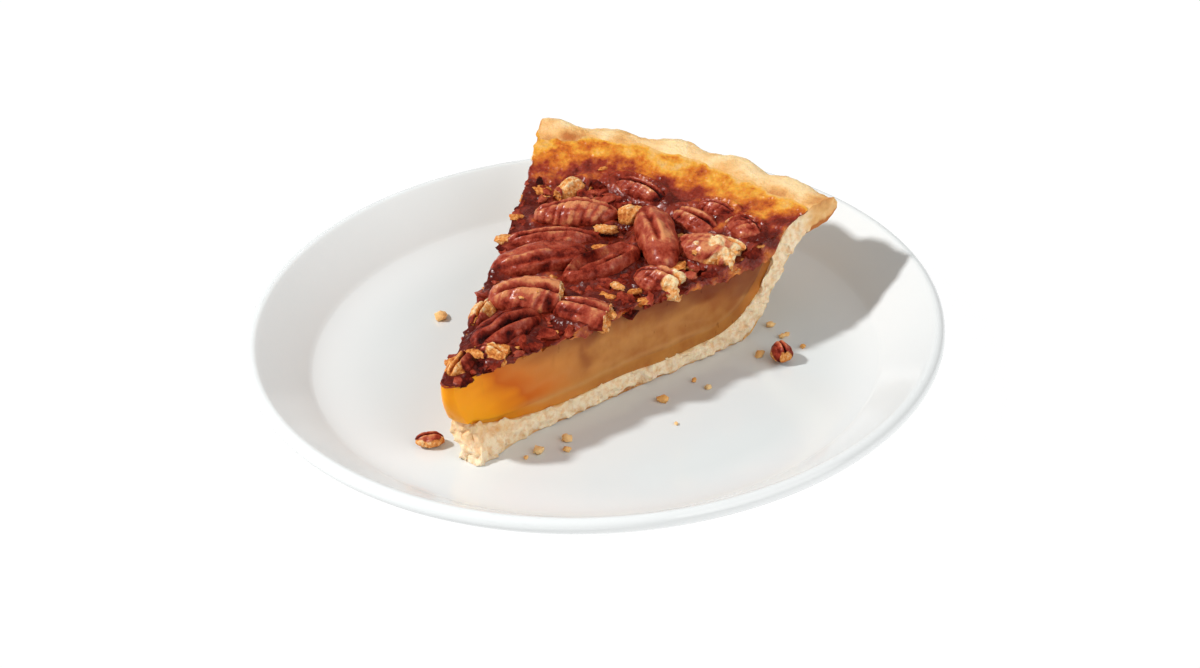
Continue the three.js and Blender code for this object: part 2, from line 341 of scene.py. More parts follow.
@dataclass(frozen=True)
class Pastry:
    """Baked short pastry: pale dry crumb inside, a golden browned skin outside, dull and softly grainy."""

    crumb: str = "#ffe8c6"
    crumb_shade: str = "#eebe86"
    skin: str = "#fcd9a2"
    golden: str = "#eab26c"
    brown: str = "#bc6f30"
    grain_mm: float = 2.0
    speck_mm: float = 6.0
    glow: float = 0.25

    def material(self) -> bpy.types.Material:
        """Builds the pastry from the marks toast, how browned the skin is, with painted light and shade on
        the rim, and cut, the open crumb.

        Returns:
            The pastry's material.
        """
        mix = NodeMaterial(
            "baked short pastry",
            {"Roughness": 0.72, "IOR": 1.45, "Subsurface Weight": self.glow, "Subsurface Scale": 0.002,
             "Subsurface Radius": (1.0, 0.6, 0.3)},
        )
        toast = mix.node("Attribute", {"attribute_name": "toast"})
        cut = mix.node("Attribute", {"attribute_name": "cut"})
        coarse = {"Scale": per_metre(self.speck_mm), "Detail": 4.0, "Roughness": 0.6}
        speck = mix.node("TexNoise", coarse, {"Vector": mix.place})
        fine = {"Scale": per_metre(self.grain_mm), "Detail": 5.0, "Roughness": 0.65}
        grain = mix.node("TexNoise", fine, {"Vector": mix.place})
        uneven = mix.node("Math", {"operation": "MULTIPLY_ADD", 1: 1.2, 2: -0.6}, {0: speck})
        browned = mix.node("Math", {"operation": "ADD"}, {0: toast, 1: uneven})
        baked = (0.08, self.skin), (0.5, self.golden), (0.95, self.brown)
        skin = mix.node("ValToRGB", {"stops": baked}, {"Fac": browned})
        torn = (0.3, self.crumb_shade), (0.56, self.crumb)
        crumb = mix.node("ValToRGB", {"stops": torn}, {"Fac": grain})
        crumb_only = mix.node("Math", {"operation": "SUBTRACT", "use_clamp": True}, {0: cut, 1: toast})
        colour = mix.node("Mix", {"data_type": "RGBA"}, {0: crumb_only, 6: skin, 7: crumb})
        relief = mix.node("Bump", {"Strength": 0.85, "Distance": 0.001}, {"Height": grain})
        return mix.dressed({"Base Color": colour, "Normal": relief})


@dataclass(frozen=True)
class SetFilling:
    """Baked egg and syrup filling: moist and see-through at thin edges, with a painted amber glow where
    light shines through.
    """

    name: str
    body: str
    deep: str
    # amber and glow colour the painted glow of light through the point; the colour after them is the syrup
    # stain with its painted shade
    amber: str
    glow: str
    stain: str
    roughness: float = 0.3
    see_in: float = 0.5
    seam: str = "#e0a868"
    peach: str = "#d8883e"
    mottle_mm: float = 7.0
    streak_mm: float = 2.2

    def material(self) -> bpy.types.Material:
        """Builds the filling from its marks: a painted amber glow for light through the point, pale seam
        lines, and syrup stain with painted shade under the candied top.

        Returns:
            The gel's or the custard's material.
        """
        mix = NodeMaterial(
            self.name,
            {"Roughness": self.roughness, "IOR": 1.42, "Specular IOR Level": 0.15,
             "Subsurface Weight": self.see_in, "Subsurface Scale": 0.003,
             "Subsurface Radius": (1.0, 0.5, 0.2)},
        )
        glow = mix.node("Attribute", {"attribute_name": "glow"})
        seam = mix.node("Attribute", {"attribute_name": "seam"})
        stain = mix.node("Attribute", {"attribute_name": "stain"})
        upright = mix.node("Mapping", {"Scale": (1.0, 1.0, 0.35)}, {"Vector": mix.place})
        coarse = {"Scale": per_metre(self.mottle_mm), "Detail": 3.0}
        mottle = mix.node("TexNoise", coarse, {"Vector": mix.place})
        fine = {"Scale": per_metre(self.streak_mm), "Detail": 3.0}
        streak = mix.node("TexNoise", fine, {"Vector": upright})
        specks = mix.node("ValToRGB", {"stops": ((0.25, self.stain), (0.31, "#ffffff"))}, {"Fac": streak})
        tone = mix.node("ValToRGB", {"stops": ((0.35, self.deep), (0.62, self.body))}, {"Fac": mottle})
        # painted glow: peach to amber to bright amber where light shines through the point
        warm = (0.3, self.peach), (0.7, self.amber), (1.0, self.glow)
        light = mix.node("ValToRGB", {"stops": warm}, {"Fac": glow})
        reach = mix.node("Math", {"operation": "MULTIPLY", 1: 2.0, "use_clamp": True}, {0: glow})
        lit = mix.node("Mix", {"data_type": "RGBA"}, {0: reach, 6: tone, 7: light})
        seamed = mix.node("Mix", {"data_type": "RGBA", 7: linear(self.seam)}, {0: seam, 6: lit})
        # syrup stain, with painted shade under the candied top
        stained_and_shaded = mix.node("Mix", {"data_type": "RGBA", 7: linear(self.stain)}, {0: stain, 6: seamed})
        faint = mix.node("Math", {"operation": "MULTIPLY_ADD", 1: -0.4, 2: 0.4}, {0: glow})
        darken = {"data_type": "RGBA", "blend_type": "MULTIPLY"}
        specked = mix.node("Mix", darken, {0: faint, 6: stained_and_shaded, 7: specks})
        relief = mix.node("Bump", {"Strength": 0.25, "Distance": 0.0004}, {"Height": streak})
        return mix.dressed({"Base Color": specked, "Normal": relief})


@dataclass(frozen=True)
class CandiedGlaze:
    """Candied syrup skin: dark, sticky and glossy over the nuts' bed, clear golden orange by the rim."""

    dark: str = "#5a1408"
    red: str = "#93301a"
    orange: str = "#cf7020"
    golden: str = "#eaa437"
    thin: str = "#e6b068"
    wet: str = "#a0a0a0"
    blister_mm: float = 1.5
    mottle_mm: float = 6.0

    def material(self) -> bpy.types.Material:
        """Builds the glaze from the mark golden, from dark candied bed to clear golden skin.

        Returns:
            The candied top's material.
        """
        mix = NodeMaterial(
            "candied syrup glaze",
            {"IOR": 1.47, "Specular IOR Level": 0.28, "Subsurface Weight": 0.15, "Subsurface Scale": 0.002,
             "Subsurface Radius": (1.0, 0.35, 0.1), "Coat Roughness": 0.24, "Coat IOR": 1.5},
        )
        golden = mix.node("Attribute", {"attribute_name": "golden"})
        coarse = {"Scale": per_metre(self.mottle_mm), "Detail": 5.0, "Roughness": 0.58}
        mottle = mix.node("TexNoise", coarse, {"Vector": mix.place})
        round_cells = {"Scale": per_metre(self.blister_mm), "Randomness": 1.0}
        blister = mix.node("TexVoronoi", round_cells, {"Vector": mix.place})
        centred = mix.node("Math", {"operation": "SUBTRACT", 1: 0.5}, {0: mottle})
        uneven = mix.node("Math", {"operation": "MULTIPLY_ADD", 1: 1.5}, {0: centred, 2: golden})
        least = mix.node("Math", {"operation": "MULTIPLY", 1: 0.52}, {0: golden})
        clear = mix.node("Math", {"operation": "MAXIMUM"}, {0: uneven, 1: least})
        tones = zip((0.1, 0.34, 0.58, 0.8, 1.0), (self.dark, self.red, self.orange, self.golden, self.thin))
        colour = mix.node("ValToRGB", {"stops": tuple(tones)}, {"Fac": clear})
        gloss = mix.node("Math", {"operation": "MULTIPLY_ADD", 1: 0.5, 2: 0.06}, {0: mottle})
        wet = mix.node("ValToRGB", {"stops": ((0.48, "#000000"), (0.58, self.wet))}, {"Fac": mottle})
        bubbles = mix.node("Bump", {"Strength": 0.5, "Distance": 0.001}, {"Height": blister})
        lumpy = {"Strength": 0.5, "Distance": 0.0008}
        relief = mix.node("Bump", lumpy, {"Height": mottle, "Normal": bubbles})
        return mix.dressed({"Base Color": colour, "Roughness": gloss, "Coat Weight": wet, "Normal": relief})


@dataclass(frozen=True)
class PecanSkin:
    """Roasted pecan: thin red-brown skin, dark in furrows and worn lighter on ridges, with painted shade and
    light laid over both, pale where it broke.
    """

    # furrow and shadow are the dark end of the skin's tone, where the painted shade lies
    furrow: str = "#2c0605"
    shadow: str = "#66190f"
    skin: str = "#943320"
    ridge: str = "#b25038"
    rubbed: str = "#d88c5c"
    flesh: str = "#f6e0b0"
    flesh_shade: str = "#e89c52"
    syrup: str = "#b8622a"
    wet: str = "#a8a8a8"
    grain_mm: float = 0.9
    patch_mm: float = 5.0

    def material(self) -> bpy.types.Material:
        """Builds the skin from the marks ridge, how high a spot stands, which carries wear with painted
        light and shade, and bare, where the flesh shows.

        Returns:
            The nuts' material.
        """
        mix = NodeMaterial(
            "roasted pecan",
            {"IOR": 1.46, "Specular IOR Level": 0.08, "Subsurface Weight": 0.08, "Subsurface Scale": 0.0015,
             "Subsurface Radius": (1.0, 0.45, 0.2), "Coat Roughness": 0.25, "Coat IOR": 1.5},
        )
        ridge = mix.node("Attribute", {"attribute_name": "ridge"})
        bare = mix.node("Attribute", {"attribute_name": "bare"})
        rough = {"Detail": 4.0, "Roughness": 0.6}
        patch, grain = (
            mix.node("TexNoise", {"Scale": per_metre(size), **rough}, {"Vector": mix.place})
            for size in (self.patch_mm, self.grain_mm)
        )
        uneven = mix.node("Math", {"operation": "MULTIPLY_ADD", 1: 1.5, 2: -0.75}, {0: patch})
        patched = mix.node("Math", {"operation": "ADD"}, {0: ridge, 1: uneven})
        pitted = mix.node("Math", {"operation": "SUBTRACT", 1: 0.5}, {0: grain})
        height = mix.node("Math", {"operation": "MULTIPLY_ADD", 1: 0.5}, {0: pitted, 2: patched})
        tones = zip(
            (0.04, 0.26, 0.48, 0.72, 1.0), (self.furrow, self.shadow, self.skin, self.ridge, self.rubbed)
        )
        skin = mix.node("ValToRGB", {"stops": tuple(tones)}, {"Fac": height})
        crumbled = mix.node("Math", {"operation": "MULTIPLY_ADD", 1: 0.5}, {0: ridge, 2: grain})
        pale = (0.5, self.syrup), (0.72, self.flesh_shade), (1.0, self.flesh)
        flesh = mix.node("ValToRGB", {"stops": pale}, {"Fac": crumbled})
        colour = mix.node("Mix", {"data_type": "RGBA"}, {0: bare, 6: skin, 7: flesh})
        gloss = mix.node("Math", {"operation": "MULTIPLY_ADD", 1: 0.5, 2: 0.18}, {0: grain})
        wet = mix.node("ValToRGB", {"stops": ((0.36, "#000000"), (0.7, self.wet))}, {"Fac": height})
        relief = mix.node("Bump", {"Strength": 0.8, "Distance": 0.0007}, {"Height": grain})
        return mix.dressed({"Base Color": colour, "Roughness": gloss, "Coat Weight": wet, "Normal": relief})


@dataclass(frozen=True)
class StudioPaper:
    """Matt white paper on a light table: lit from below, so even and bright, with hardly a shadow on it.

    Its fibres are drawn coarser than real ones, so that they show at all.
    """

    white: str = "#fcfcfc"
    face: str = "#3c3c3c"
    face_shade: str = "#383838"
    fibre_mm: float = 3.0
    lit: float = 1.0

    def material(self) -> bpy.types.Material:
        """Builds the paper with a fine fibre tone.

        Returns:
            The floor's material.
        """
        mix = NodeMaterial("matt white paper", {
            "Roughness": 0.95, "Specular IOR Level": 0.1, "Emission Color": linear(self.white),
            "Emission Strength": self.lit,
        })
        fibre = mix.node("TexNoise", {"Scale": per_metre(self.fibre_mm)}, {"Vector": mix.place})
        tone = mix.node("ValToRGB", {"stops": ((0.2, self.face_shade), (0.8, self.face))}, {"Fac": fibre})
        return mix.dressed({"Base Color": tone})


@dataclass(frozen=True)
class PieSection:
    """The slice's own geometry: its place on the plate, its angle and the heights of its layers."""

    centre: tuple[float, float] = (-5.0, -68.0)
    well: float = 5.8
    half_angle: float = math.radians(21.5)
    crust_upper: tuple[tuple[float, float], ...] = (
        (8, 12.2), (20, 8.2), (40, 5.9), (60, 6.8), (76, 5.7), (92, 5.9), (102, 8.5),
        (110, 15), (116, 25), (120.5, 32), (128, 35.6), (134.5, 38.4),
    )
    crust_lower: tuple[tuple[float, float], ...] = (
        (8, 0.1), (20, 0.1), (40, 0.1), (72, 0.1), (96, 0.1), (107, 0.6),
        (113.5, 8.8), (119.5, 17.8), (126, 25.6), (132, 28.8), (139.8, 30.4),
    )
    flute_pitch: float = math.radians(8.8)
    flute_peak: float = math.radians(-2.4)
    gel_depth: float = 3.6
    custard_edge: tuple[tuple[float, float], ...] = (
        (0, 27.2), (20, 26.8), (40, 26.6), (50, 25.2), (60, 27.2), (80, 25.8), (100, 23.8), (120, 25.6),
    )
    top_level: float = 27.3
    rise_from: float = 103.0
    rise_slope: float = 0.345
    top_end: float = 130.2

    def place(self, r: np.ndarray, angle: np.ndarray, z: np.ndarray) -> np.ndarray:
        """Points in the row's frame from radius, angle and height, with a blunt round nose at the point.

        Args:
            r: radius from the pie's centre in mm.
            angle: angle from the slice's middle line in radians.
            z: height over the well in mm.

        Returns:
            The points, with one more axis of size 3.
        """
        nose = 1 - ease(r, 0, 15)
        across = angle / self.half_angle
        x = self.centre[0] + r * np.sin(angle) + 1.7 * nose * across
        y = self.centre[1] + r * np.cos(angle) - 1.8 * nose * (1 - across ** 2)
        return np.stack([x, y, z + self.well], -1)

    def angle(self, share: np.ndarray) -> np.ndarray:
        """The angle from the near cut face at 0 to the far one at 1."""
        return self.half_angle * (1 - 2 * share)

    def nearing(self, angle: np.ndarray, low: float, high: float) -> np.ndarray:
        """Rises from 0 to 1 between two shares of the half angle, towards the near cut face."""
        return ease(angle, low * self.half_angle, high * self.half_angle)

    def crust_top(self, r: np.ndarray) -> np.ndarray:
        """Height of the crust's upper face, read off its section curve at a radius."""
        return height_at(self.crust_upper, r)

    def gel_top(self, r: np.ndarray) -> np.ndarray:
        """Height of the gel's inner face: the crust's own curve, moved in and up by the lining's depth."""
        depth = blend(0.8, self.gel_depth, ease(r, 8, 34))
        return self.crust_top(r + 1.5 * ease(r, 96, 108)) + depth

    def custard_level(self, r: np.ndarray) -> np.ndarray:
        """Height of the custard's upper edge without its waves, read off its curve at a radius."""
        return height_at(self.custard_edge, r)

    def custard_top(self, r: np.ndarray) -> np.ndarray:
        """Height of the custard's ragged upper edge: its level, lowered by three waves of falling size."""
        waves = 0.45 * np.sin(0.5 * r) + 0.35 * np.sin(1.25 * r + 1) + 0.25 * np.sin(2.6 * r) - 0.5
        return self.custard_level(r) + waves * ease(r, 12, 24)

    def topping_top(self, r: np.ndarray) -> np.ndarray:
        """Height of the candied top without its lumps: level, then rising straight to the rim."""
        return self.top_level + np.maximum(r - self.rise_from, 0) * self.rise_slope

    def flute(self, angle: np.ndarray) -> np.ndarray:
        """The rim's waves, a cosine round the pie, from -1 in a dip to 1 on a peak."""
        return np.cos(2 * np.pi * (angle - self.flute_peak) / self.flute_pitch)


@dataclass
class Plate:
    """The dessert plate: one smooth lathed profile with a foot ring, a hollow well and a rolled lip."""

    finish: Porcelain = Porcelain()
    well: float = 5.8
    well_radius: float = 60.0
    lip: float = 2.2
    rim_start: tuple[float, float] = (83.0, 8.8)
    rim_bend: float = 76.0
    back_bend: tuple[float, float] = (84.0, 2.6)
    foot: tuple[float, float] = (62.0, 66.0)
    foot_round: float = 1.2
    recess: float = 1.5
    middle: float = 4.0
    sides: int = 256

    @staticmethod
    def curve(start: np.ndarray, pull: np.ndarray, end: np.ndarray, steps: int) -> np.ndarray:
        """A quadratic curve: (1-t)² start + 2t(1-t) pull + t² end."""
        t = np.linspace(0, 1, steps)[:, None]
        return (1 - t) ** 2 * np.array(start) + 2 * t * (1 - t) * np.array(pull) + t ** 2 * np.array(end)

    def profile(self) -> np.ndarray:
        """The section from the middle of the back, over the lip, to the middle of the well.

        Returns:
            Radius and height of each point, without the two points on the axis.
        """
        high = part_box("plate")[1] / MM
        centre = np.array([high.x - self.lip, high.z - self.lip])
        arc = np.radians(np.linspace(-50, 125, 22))[:, None]
        lip = centre + self.lip * np.concatenate([np.cos(arc), np.sin(arc)], 1)
        inner, outer = self.foot
        rounded, recess = self.foot_round, self.recess
        foot = np.concatenate([
            self.curve((inner - 2 * rounded, recess), (inner - rounded, recess), (inner - 0.4, 0.5), 5),
            self.curve((inner - 0.4, 0.5), (inner, 0), (inner + rounded, 0), 5),
            self.curve((outer - rounded, 0), (outer, 0), (outer + 0.6, 0.7), 5),
        ])
        back = self.curve((outer + rounded, recess), self.back_bend, lip[0], 26)
        slope = np.linspace(lip[-1], self.rim_start, 14)[1:-1]
        bend = self.curve(self.rim_start, (self.rim_bend, self.well), (self.well_radius, self.well), 22)
        floor = np.linspace((self.well_radius, self.well), (self.middle, self.well), 12)[1:]
        under = np.linspace((self.middle, recess), (inner - 2 * rounded, recess), 10)[:-1]
        return np.concatenate([under, foot, back[:-1], lip, slope, bend, floor])

    def surface(self) -> Surface:
        """Turns the profile round the axis and closes both middles with fans of triangles.

        Returns:
            The plate's closed surface with a mark of painted shade, which fades out from the well to the
            rim.
        """
        profile = self.profile()
        turn = np.linspace(0, 2 * np.pi, self.sides, endpoint=False)
        r, z = profile[:, :1], np.repeat(profile[:, 1:], self.sides, 1)
        rings = np.stack([r * np.cos(turn), r * np.sin(turn), z], -1)
        index = np.arange(rings.shape[0] * self.sides).reshape(-1, self.sides)
        ahead = np.roll(index, -1, axis=1)
        quads = np.stack([index[:-1], ahead[:-1], ahead[1:], index[1:]], -1).reshape(-1, 4)
        middles = np.array([[0, 0, profile[0, 1]], [0, 0, profile[-1, 1]]])
        below, above = np.full(self.sides, index.size), np.full(self.sides, index.size + 1)
        fans = np.concatenate([
            np.stack([below, ahead[0], index[0]], -1), np.stack([above, index[-1], ahead[-1]], -1)
        ])
        points = np.concatenate([rings.reshape(-1, 3), middles])
        # painted shade, darkest in the well and fading out up the slope
        pooled = 1 - ease(np.hypot(points[:, 0], points[:, 1]), self.well_radius, self.rim_start[0])
        return Surface(points, quads.tolist() + fans.tolist(), {"pooled": pooled})

    def build(self) -> None:
        """Makes the plate and dresses it in glaze."""
        make_piece("porcelain_plate", self.surface(), self.finish.material(), "porcelain", ("plate",))


@dataclass
class Crust:
    """The pastry: base, leaning wall and fluted rim, bent from one slab with crumbly cut faces."""

    section: PieSection
    finish: Pastry = Pastry()
    steps: tuple[int, int, int] = (350, 104, 26)
    rim_close: float = 0.9
    rim_reach: float = 1.3
    flute_out: float = 0.95
    flute_up: float = 0.4
    tip_flare: float = 3.0
    end_flare: float = 2.4
    end_lift: float = 1.7
    grain: Grain = field(default_factory=lambda: Grain(11))

    def surface(self) -> Surface:
        """Rules the slab between its lower and upper curves, rounds its rim and roughens it.

        Near the rim the slab's thickness closes as an ellipse, and the flutes push the rim out and up in
        waves. The rim flares at its near end and lifts at its far end. At the point its foot leans out, and
        rough fields push every point, most on the cut faces.

        Returns:
            The crust's closed surface with the marks toast and cut.
        """
        section, grain = self.section, self.grain
        shares, faces = box_grid(self.steps)
        u, v, w = shares.T
        lower, upper = spline(section.crust_lower, u), spline(section.crust_upper, u)
        end = np.clip((u - self.rim_close) / (1 - self.rim_close), 0, 1)
        half = np.sqrt(np.maximum(1 - end ** 2, 0.0025))[:, None]
        flat = blend(lower, upper, 0.5 + (w[:, None] - 0.5) * half)
        reach = self.rim_reach * end ** 2
        angle = section.angle(v)
        rim = ease(flat[:, 0], 125, 135)
        dents = grain.rough(section.place(flat[:, 0], angle, flat[:, 1]), 15.0, 2)
        flute = section.flute(angle) + 0.9 * dents
        tip = (1 - ease(flat[:, 0], 8, 30)) * (1 - w)
        flare = self.end_flare * section.nearing(angle, 0.7, 1)
        r = flat[:, 0] + 0.94 * reach + (self.flute_out * flute + flare) * rim - 0.6 * tip
        near = section.nearing(angle, 0.2, 0.7)
        lift = self.end_lift * section.nearing(-angle, 0.5, 0.9)
        z = flat[:, 1] + 0.34 * reach + (self.flute_up * flute + lift) * rim
        smooth = section.place(r, angle, z)
        smooth[:, 0] += self.tip_flare * tip
        cut = ((v == 0) | (v == 1) | (u == 0)) * (1 - 0.8 * ease(r, 124, 133))
        push = grain.shift(smooth, 3.4, 3) * (0.15 + 0.6 * cut + 1.1 * tip * cut)[:, None]
        push += grain.shift(smooth, 1.4, 1) * (0.1 + 0.36 * cut + 0.16 * rim)[:, None]
        push += grain.shift(smooth, 7.0, 2) * (0.55 * cut)[:, None]
        under = (1 - ease(w + 0.12 * grain.field(smooth, 6.0), 0.0, 0.2)) * ease(r, 16, 34)
        push[:, 0] -= 0.9 * under * np.sign(angle) * cut
        push[:, 2] *= np.where(z < 1.0, 0.35, 1.0)
        points = smooth + push
        points[:, 2] = np.maximum(points[:, 2], section.well + 0.05)
        spots = grain.rough(smooth, 9.0, 3)
        # less browned towards the near cut face, where the rim's slope lies in shade: painted light; browner
        # in the flutes' dips than on their peaks: painted shade in the dips, painted light on the peaks
        skin = 0.44 + 0.09 * lift - 0.12 * near - 0.22 * ease(r, 127, 133) - 0.12 * flute * rim
        skin += 0.6 * ease(r, 137, 141) + 0.4 * spots
        point = 1 - ease(r, 12, 32)
        soaked = (0.2 + 0.3 * point) * ease(w + 0.35 * point, 0.6, 1)
        crumb = 0.8 * under + 0.5 * ease(r, 124, 134) + soaked
        toast = np.where(cut > 0, crumb, skin)
        return Surface(points, faces.tolist(), {"toast": np.clip(toast, 0, 1), "cut": cut})

    def build(self) -> None:
        """Makes the crust and dresses it in pastry."""
        make_piece("pastry_crust", self.surface(), self.finish.material(), "pastry", ("crust",))


@dataclass
class Filling:
    """The gel that lines the crust and the custard that it holds.

    Each drip of syrup down the cut faces is its radius, its half width and the height that it reaches.
    """

    section: PieSection
    gel: SetFilling = SetFilling("syrup gel", "#c0803e", "#ac6a30", "#d8801c", "#ee9a26", "#8a4a1c")
    custard: SetFilling = SetFilling(
        "set syrup custard", "#c28446", "#ae6c36", "#cc6414", "#fca21a", "#6e2614"
    )
    gel_reach: tuple[float, float] = (8.0, 115.0)
    gel_steps: tuple[int, int, int] = (220, 24, 12)
    custard_end: float = 112.6
    custard_steps: tuple[int, int, int] = (220, 28, 60)
    overlap: float = 0.12
    least: float = 0.3
    drips: tuple[tuple[float, float, float], ...] = (
        (37.0, 0.9, 17.0), (46.5, 1.5, 9.0), (52.0, 0.8, 16.0), (77.0, 1.0, 17.0), (93.0, 0.8, 15.0),
    )
    grain: Grain = field(default_factory=lambda: Grain(23))

    def layer(
        self, lower: np.ndarray, upper: np.ndarray, r: np.ndarray, shares: np.ndarray, faces: np.ndarray
    ) -> Surface:
        """Fills the space between two heights and lets the cut faces swell and dip a little.

        A painted glow, standing for light through the point, fades with radius and height. The layer darkens
        under the candied top, partly syrup stain and partly painted shade, and towards the rim, syrup stains
        the drips, and pale seams follow the gel's inner face.

        Args:
            lower: height of the layer's foot at each point.
            upper: height of its top there.
            r: radius of each point.
            shares: the box grid's shares along, around and through the layer.
            faces: the box grid's faces.

        Returns:
            The layer's closed surface with the marks of painted glow, of stain and painted shade, and of
            seams.
        """
        _, v, w = shares.T
        angle = self.section.angle(v)
        z = blend(lower, upper, w)
        smooth = self.section.place(r, angle, z)
        cut = (v == 0) | (v == 1)
        side = np.stack([np.cos(angle), -np.sin(angle), np.zeros_like(angle)], -1) * np.sign(angle)[:, None]
        swell = 0.35 * self.grain.rough(smooth, 13.0, 2) + 0.12 * self.grain.field(smooth, 3.5)
        points = smooth + side * (swell * cut)[:, None]
        drift = self.grain.rough(smooth * np.array([1, 1, 2.2]), 16.0, 3)
        # painted glow: light through the thin point, strongest at the point and low down
        light = ease(7 * drift - r - 0.9 * (z - 15), -62, -2)
        top = self.section.custard_level(r)
        # darker under the candied top, syrup stain with painted shade, and darker towards the rim
        stain = 0.8 * ease(z - top + 4 * drift + 3.2 * ease(r, 68, 94), -6.5, 1.5) * ease(r, 14, 40)
        stain = np.maximum(stain, 0.26 * ease(r, 58, 108))
        for at, wide, foot in self.drips:
            run = bell(r + 0.3 * drift * (top - z) - at, wide)
            stain = np.maximum(stain, 0.36 * run * ease(z, foot, foot + 9) * cut)
        over = z - self.section.gel_top(r)
        seam = 0.3 * bell(over - 0.6 - 1.5 * drift, 0.8) + 0.1 * bell(over - 5 - 5 * drift, 1.5)
        marks = {"glow": light, "stain": stain, "seam": seam * cut * ease(r, 18, 32)}
        return Surface(points, faces.tolist(), marks)

    def gel_surface(self) -> Surface:
        """The lining, from the crust's upper face to the gel's inner face.

        Returns:
            The gel's closed surface.
        """
        shares, faces = box_grid(self.gel_steps)
        r = blend(*self.gel_reach, shares[:, 0])
        lower = self.section.crust_top(r) - self.overlap
        upper = np.minimum(self.section.gel_top(r), self.section.custard_top(r))
        surface = self.layer(lower, np.maximum(upper, lower + self.least), r, shares, faces)
        # painted glow on the gel by the wall and along its top
        lit = np.maximum(0.4 * ease(r, 100, 110), 0.12 * ease(shares[:, 2], 0.7, 1))
        surface.marks["glow"] = np.maximum(0.8 * surface.marks["glow"], lit)
        return surface

    def custard_surface(self) -> Surface:
        """The custard, from the gel to the candied top, its point rounded back towards the crust below.

        Returns:
            The custard's closed surface.
        """
        shares, faces = box_grid(self.custard_steps)
        u, _, w = shares.T
        point = 1.6 + 5.0 * (1 - w) ** 2 + 1.2 * w ** 4
        r = blend(point, self.custard_end, u)
        lower = self.section.gel_top(r) - self.overlap
        upper = self.section.custard_top(r) + self.overlap
        return self.layer(lower, np.maximum(upper, lower + self.least), r, shares, faces)

    def build(self) -> None:
        """Makes both layers and dresses them."""
        gel, custard = self.gel.material(), self.custard.material()
        make_piece("gel_lining", self.gel_surface(), gel, "syrup_gel", ("filling_gel",))
        make_piece("custard", self.custard_surface(), custard, "custard", ("filling_custard",))


class KernelKind(Enum):
    """What a pecan kernel is, and the first part of its solid's name."""

    HALF = "pecan_half"
    PIECE = "pecan_piece"
    CHIP = "pecan_chip"


@dataclass(frozen=True)
class Kernel:
    """One pecan: its middle from the pie's centre, its turn, its size, its groove and its snapped ends.

    The turn is heading from +X, pitch that lifts the leading end and roll about the length, in degrees.
    The ends are where it is snapped and the span is where the groove runs, both in half lengths. Wrinkle and
    ribs are the folds' heights in mm, sunk and scoop the depths of the groove and of a hollow as shares of
    the height, skinned the share that keeps its skin, tone how light the skin is, and worn the side that
    lost it.
    """

    at: tuple[float, float, float]
    turn: tuple[float, float, float]
    size: tuple[float, float, float]
    groove: float = 0.0
    ends: tuple[float, float] = (-1.0, 1.0)
    wrinkle: float = 0.16
    skinned: float = 1.0
    tone: float = 0.46
    worn: tuple[float, float, float] = (1.0, 0.0, 0.0)
    ribs: float = 0.12
    sunk: float = 0.24
    span: tuple[float, float] = (-0.95, 0.95)
    scoop: float = 0.0


